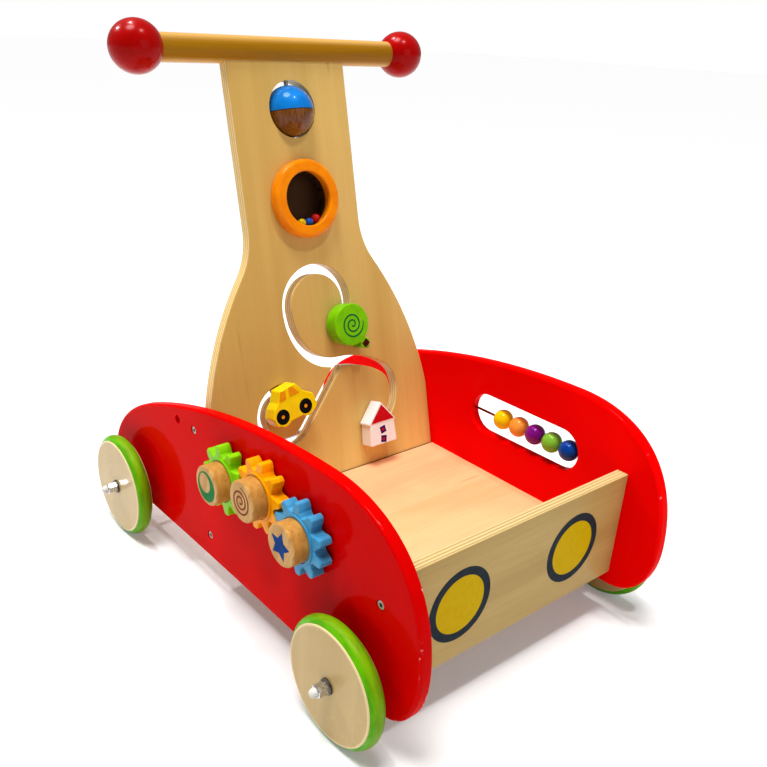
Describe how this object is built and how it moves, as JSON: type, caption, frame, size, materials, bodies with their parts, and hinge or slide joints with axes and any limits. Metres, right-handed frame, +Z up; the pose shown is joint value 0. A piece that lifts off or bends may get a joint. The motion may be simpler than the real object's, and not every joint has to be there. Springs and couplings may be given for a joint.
{
  "type": "baby walker",
  "caption": "Wooden push-along baby walker: four-wheeled toy tray with a leaning activity board, push handle, meshing gears, sliding beads, spinning ball, rattle and sliders on a track.",
  "frame": {"origin": "on the ground under the middle of the walker's overall length and width", "axes": "+Z up, -Y towards the front panel with the headlights, +Y towards the push handle, +X towards the side panel with the bead window"},
  "size_m": [0.3878, 0.5068, 0.5075],
  "materials": {
    "red_paint": "gloss",
    "birch_ply": "satin lacquer",
    "beech": "satin lacquer",
    "red_ball": "gloss paint",
    "lime_tyre": "satin",
    "zinc": "bright zinc",
    "dark_steel": "dark zinc",
    "white_cap": "translucent satin",
    "green_gear": "satin",
    "orange_gear": "satin",
    "blue_gear": "satin",
    "blue_gloss": "gloss",
    "orange_gloss": "gloss",
    "lime_gloss": "gloss",
    "yellow_gloss": "gloss",
    "white_gloss": "gloss",
    "bead_blue": "gloss",
    "bead_green": "gloss",
    "bead_purple": "gloss",
    "bead_orange": "gloss",
    "bead_yellow": "gloss",
    "bead_red": "gloss",
    "clear_window": "clear"
  },
  "bodies": {
    "chassis": {"gear_side_panel": "red_paint", "bead_side_panel": "red_paint", "gear_side_panel_screws": "dark_steel", "bead_side_panel_screws": "dark_steel", "gear_side_handle_ball": "red_ball", "bead_side_handle_ball": "red_ball", "back_board": "birch_ply", "floor_panel": "birch_ply", "front_panel": "birch_ply", "handle_bar": "beech", "handle_pegs": "beech", "wheel_spacers": "white_cap", "axle_washers": "dark_steel", "axle_nuts": "zinc", "axle_caps": "white_cap", "front_axle": "zinc", "rear_axle": "zinc", "gear_pins": "beech", "bead_rod": "dark_steel", "spinner_rod": "zinc"},
    "front_wheel_gear_side_body": {"front_wheel_gear_side": "birch_ply", "front_tyre_gear_side": "lime_tyre"},
    "front_wheel_bead_side_body": {"front_wheel_bead_side": "birch_ply", "front_tyre_bead_side": "lime_tyre"},
    "rear_wheel_gear_side_body": {"rear_wheel_gear_side": "birch_ply", "rear_tyre_gear_side": "lime_tyre"},
    "rear_wheel_bead_side_body": {"rear_wheel_bead_side": "birch_ply", "rear_tyre_bead_side": "lime_tyre"},
    "green_gear_body": {"green_gear": "green_gear", "green_gear_knob": "beech"},
    "orange_gear_body": {"orange_gear": "orange_gear", "orange_gear_knob": "beech"},
    "blue_gear_body": {"blue_gear": "blue_gear", "blue_gear_knob": "beech"},
    "spinner_ball_body": {"spinner_ball": "blue_gloss"},
    "rattle_body": {"rattle_ring": "orange_gloss", "rattle_window": "clear_window", "rattle_back_cover": "beech", "rattle_bead_yellow": "bead_yellow", "rattle_bead_blue": "bead_blue", "rattle_bead_red": "bead_red"},
    "balloon_peg_body": {"balloon_peg": "beech"},
    "balloon_block_body": {"balloon_block": "lime_gloss"},
    "house_peg_body": {"house_peg": "beech"},
    "house_block_body": {"house_block": "white_gloss"},
    "car_peg_body": {"car_peg": "beech"},
    "car_block_body": {"car_block": "yellow_gloss"},
    "yellow_bead_body": {"yellow_bead": "bead_yellow"},
    "orange_bead_body": {"orange_bead": "bead_orange"},
    "purple_bead_body": {"purple_bead": "bead_purple"},
    "green_bead_body": {"green_bead": "bead_green"},
    "blue_bead_body": {"blue_bead": "bead_blue"}
  },
  "joints": [
    {"name": "front_wheel_gear_side_spin", "type": "hinge", "parent": "chassis", "child": "front_wheel_gear_side_body", "pos_m": [-0.1689, -0.181, 0.0543], "axis": [1, 0, 0], "continuous": true},
    {"name": "front_wheel_bead_side_spin", "type": "hinge", "parent": "chassis", "child": "front_wheel_bead_side_body", "pos_m": [0.1689, -0.181, 0.0543], "axis": [1, 0, 0], "continuous": true},
    {"name": "rear_wheel_gear_side_spin", "type": "hinge", "parent": "chassis", "child": "rear_wheel_gear_side_body", "pos_m": [-0.1689, 0.1915, 0.0543], "axis": [1, 0, 0], "continuous": true},
    {"name": "rear_wheel_bead_side_spin", "type": "hinge", "parent": "chassis", "child": "rear_wheel_bead_side_body", "pos_m": [0.1689, 0.1915, 0.0543], "axis": [1, 0, 0], "continuous": true},
    {"name": "green_gear_spin", "type": "hinge", "parent": "chassis", "child": "green_gear_body", "pos_m": [-0.16, -0.00503, 0.14663], "axis": [1, 0, 0], "continuous": true},
    {"name": "orange_gear_spin", "type": "hinge", "parent": "chassis", "child": "orange_gear_body", "pos_m": [-0.16, -0.0614, 0.158], "axis": [1, 0, 0], "continuous": true},
    {"name": "blue_gear_spin", "type": "hinge", "parent": "chassis", "child": "blue_gear_body", "pos_m": [-0.16, -0.11777, 0.14663], "axis": [1, 0, 0], "continuous": true},
    {"name": "spinner_ball_spin", "type": "hinge", "parent": "chassis", "child": "spinner_ball_body", "pos_m": [0, 0.13531, 0.43293], "axis": [0, 0.2414, 0.9704], "continuous": true},
    {"name": "rattle_spin", "type": "hinge", "parent": "chassis", "child": "rattle_body", "pos_m": [0, 0.11566, 0.35394], "axis": [0, -0.9704, 0.2414], "continuous": true},
    {"name": "balloon_track_slide", "type": "hinge", "parent": "chassis", "child": "balloon_peg_body", "pos_m": [0.002, 0.09055, 0.25302], "axis": [0, -0.9704, 0.2414], "range_deg": [0, 99]},
    {"name": "balloon_block_spin", "type": "hinge", "parent": "balloon_peg_body", "child": "balloon_block_body", "pos_m": [0.0302, 0.07137, 0.23391], "axis": [0, -0.9704, 0.2414], "continuous": true},
    {"name": "house_track_slide", "type": "hinge", "parent": "chassis", "child": "house_peg_body", "pos_m": [0.052, 0.06593, 0.15403], "axis": [0, -0.9704, 0.2414], "range_deg": [0, 102]},
    {"name": "house_block_spin", "type": "hinge", "parent": "house_peg_body", "child": "house_block_body", "pos_m": [0.05851, 0.04343, 0.12158], "axis": [0, -0.9704, 0.2414], "continuous": true},
    {"name": "car_track_slide", "type": "hinge", "parent": "chassis", "child": "car_peg_body", "pos_m": [-0.052, 0.06593, 0.15403], "axis": [0, -0.9704, 0.2414], "range_deg": [0, 238]},
    {"name": "car_block_spin", "type": "hinge", "parent": "car_peg_body", "child": "car_block_body", "pos_m": [-0.04723, 0.05888, 0.18369], "axis": [0, -0.9704, 0.2414], "continuous": true},
    {"name": "yellow_bead_slide", "type": "slide", "parent": "chassis", "child": "yellow_bead_body", "axis": [0, 1, 0], "range_m": [-0.0026, 0.029]},
    {"name": "orange_bead_slide", "type": "slide", "parent": "chassis", "child": "orange_bead_body", "axis": [0, 1, 0], "range_m": [-0.0026, 0.029]},
    {"name": "purple_bead_slide", "type": "slide", "parent": "chassis", "child": "purple_bead_body", "axis": [0, 1, 0], "range_m": [-0.0026, 0.029]},
    {"name": "green_bead_slide", "type": "slide", "parent": "chassis", "child": "green_bead_body", "axis": [0, 1, 0], "range_m": [-0.0026, 0.029]},
    {"name": "blue_bead_slide", "type": "slide", "parent": "chassis", "child": "blue_bead_body", "axis": [0, 1, 0], "range_m": [-0.0026, 0.029]}
  ],
  "couplings": [
    {"joint": "orange_gear_spin", "follows": "green_gear_spin", "ratio": -1},
    {"joint": "blue_gear_spin", "follows": "green_gear_spin", "ratio": 1},
    {"joint": "orange_bead_slide", "follows": "yellow_bead_slide", "ratio": 1},
    {"joint": "purple_bead_slide", "follows": "yellow_bead_slide", "ratio": 1},
    {"joint": "green_bead_slide", "follows": "yellow_bead_slide", "ratio": 1},
    {"joint": "blue_bead_slide", "follows": "yellow_bead_slide", "ratio": 1}
  ]
}
